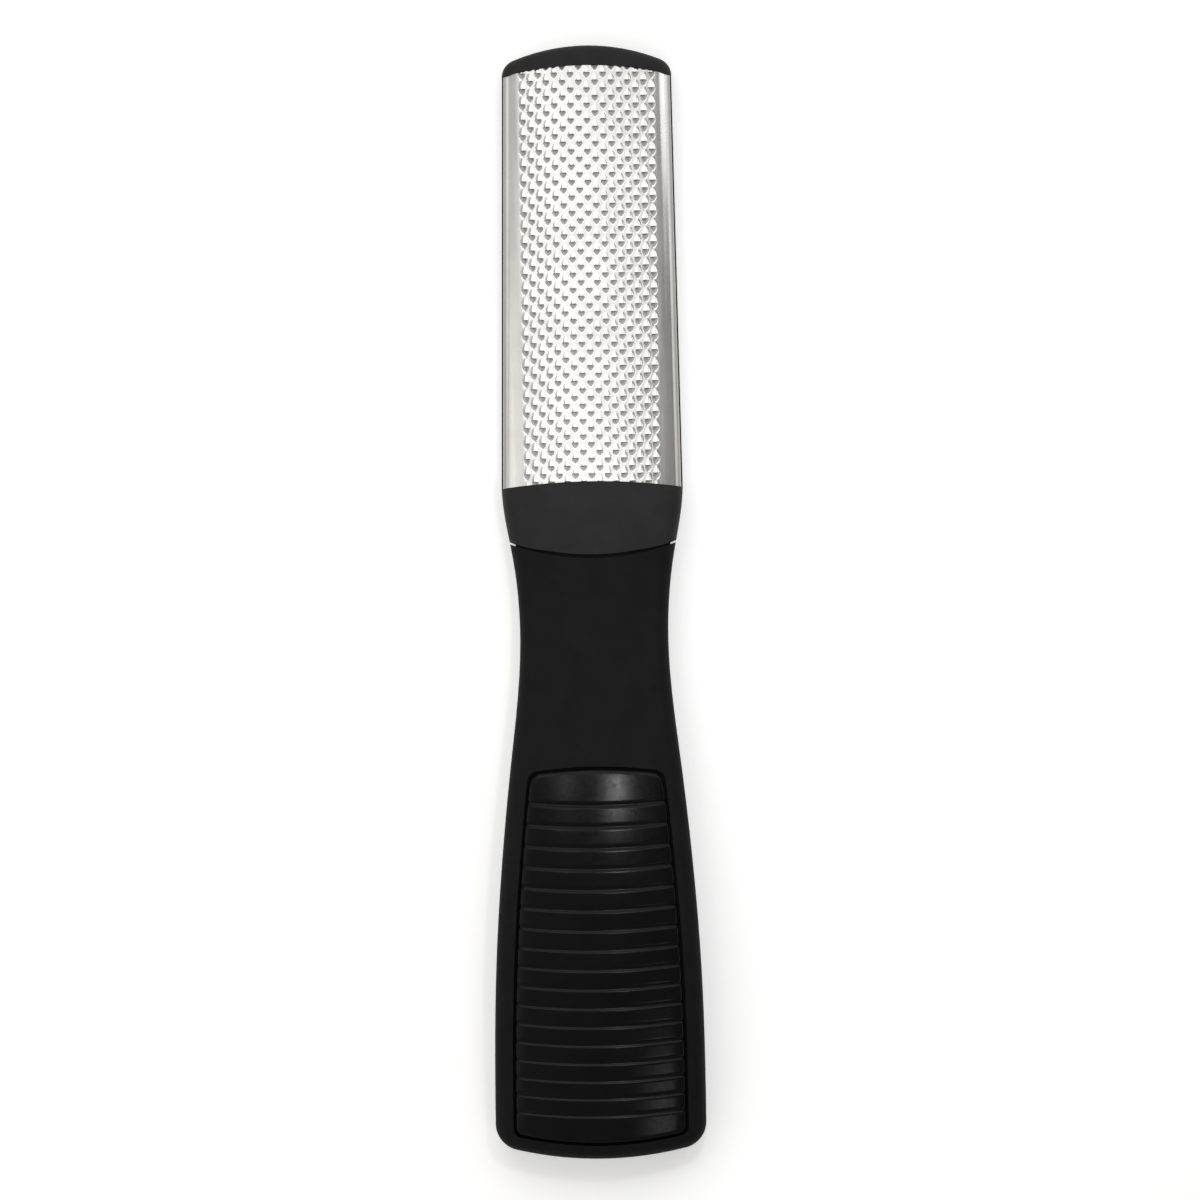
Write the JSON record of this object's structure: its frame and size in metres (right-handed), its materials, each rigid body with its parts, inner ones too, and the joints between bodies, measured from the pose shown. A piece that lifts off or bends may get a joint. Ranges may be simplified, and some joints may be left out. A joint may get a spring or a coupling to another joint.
{
  "type": "foot file",
  "caption": "Paddle-shaped foot file with a crowned, toothed steel rasp plate, a fine emery back, a domed collar and a waisted handle with grooved grip pads.",
  "frame": {"origin": "middle of the file's length and width, on the plane that the emery face and the back pad lie on", "axes": "+Y from the butt of the handle to the tip of the head, +Z out of the rasp face, +X to the right seen from the rasp side"},
  "size_m": [0.0474, 0.25, 0.0189],
  "materials": {
    "rasp_steel": "bright rolled stainless sheet",
    "head_plastic": "fine matte texture, dark grey",
    "handle_plastic": "soft-touch matte black",
    "grip_rubber": "semi-gloss black elastomer",
    "emery": "fine grey grit on a cloth backing",
    "screw_steel": "zinc-plated"
  },
  "bodies": {
    "root": {"head_core": "head_plastic", "rasp_plate": "rasp_steel", "emery_sheet": "emery", "collar": "head_plastic", "handle_front_shell": "handle_plastic", "handle_back_shell": "handle_plastic", "front_grip_pad": "grip_rubber", "back_grip_pad": "grip_rubber", "handle_screws": "screw_steel"}
  },
  "joints": []
}
